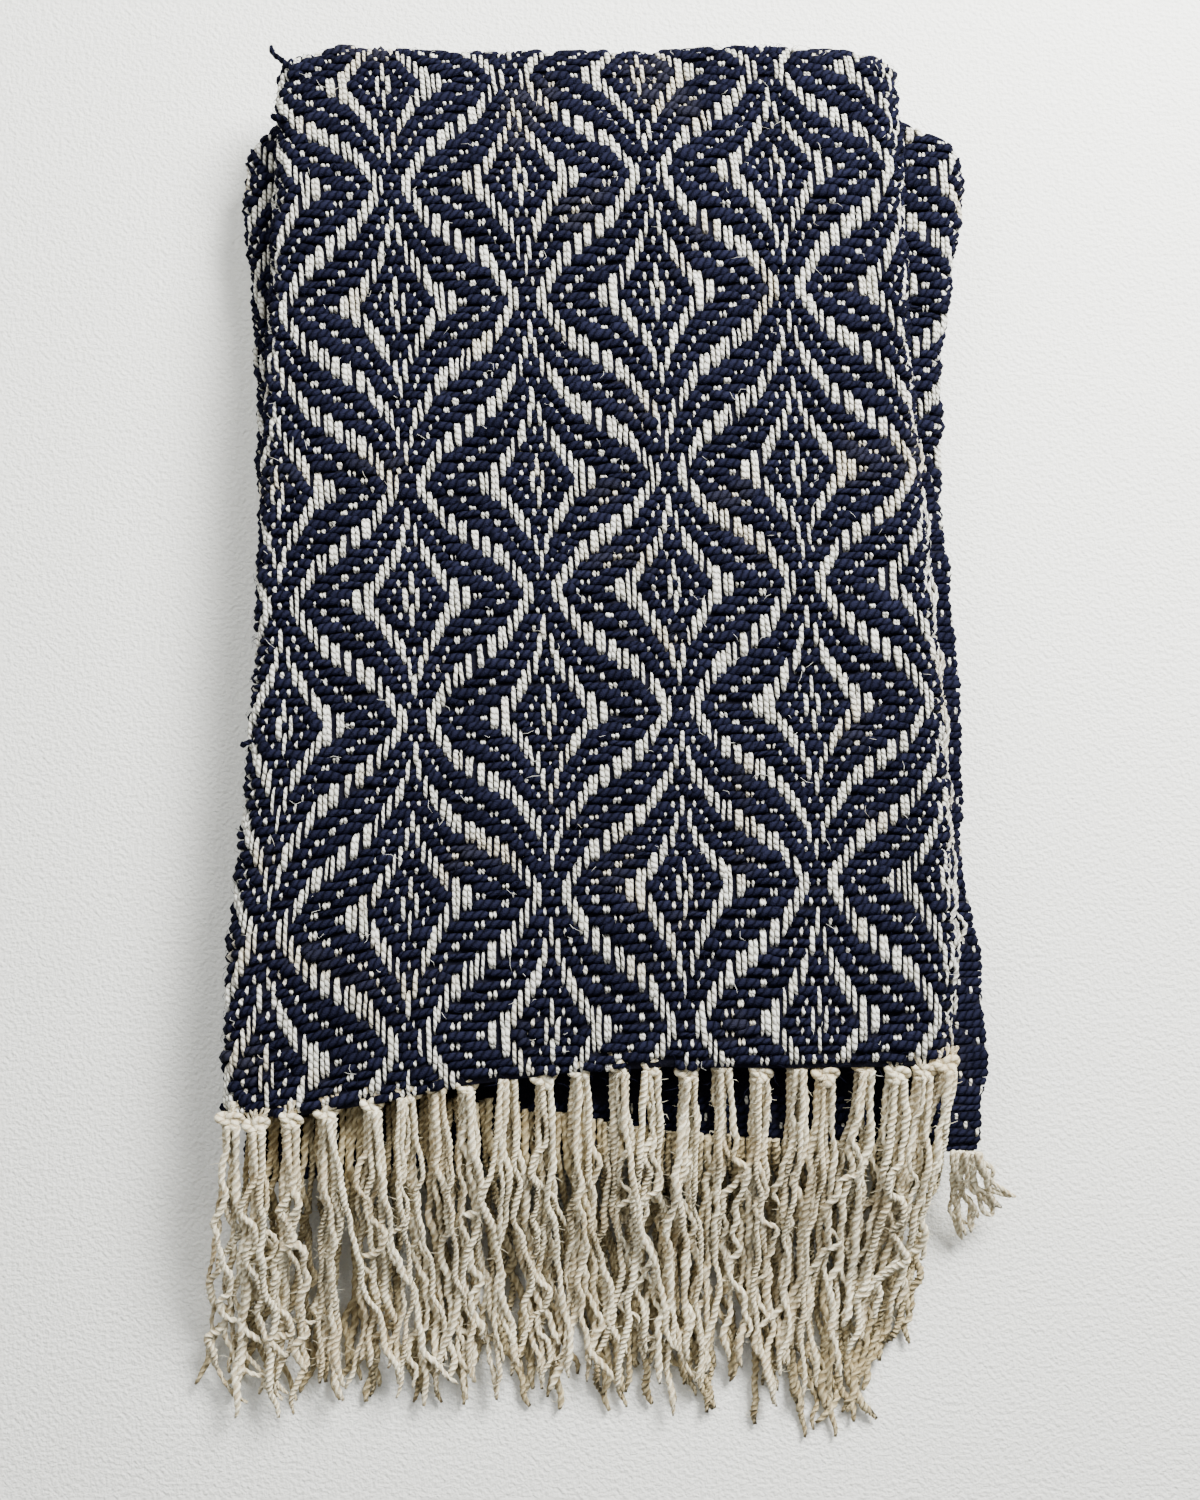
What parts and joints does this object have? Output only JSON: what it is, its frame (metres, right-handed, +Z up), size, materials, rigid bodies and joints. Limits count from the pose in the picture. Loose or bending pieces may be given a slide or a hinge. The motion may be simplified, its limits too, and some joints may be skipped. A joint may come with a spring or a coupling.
{
  "type": "folded ruana",
  "caption": "Handwoven ruana folded into a flat oblong bundle, ogee-patterned navy and cream cloth with a knotted warp fringe at one end.",
  "frame": {"origin": "middle of the bundle's box on the surface it lies on", "axes": "+Z up from the surface, +Y towards the top fold and -Y towards the fringe, +X to the right seen from above with the fringe nearest"},
  "size_m": [0.2979, 0.5079, 0.046],
  "materials": {
    "patterned_cloth": "woven wool and cotton",
    "navy_selvedge": "woven wool",
    "warp_fringe": "twisted cotton"
  },
  "bodies": {
    "root": {"upper_cloth": "patterned_cloth", "lower_cloth": "patterned_cloth", "under_cloth": "navy_selvedge", "hidden_layers": "patterned_cloth", "upper_fringe": "warp_fringe", "under_fringe": "warp_fringe", "corner_tuft": "warp_fringe"}
  },
  "joints": []
}
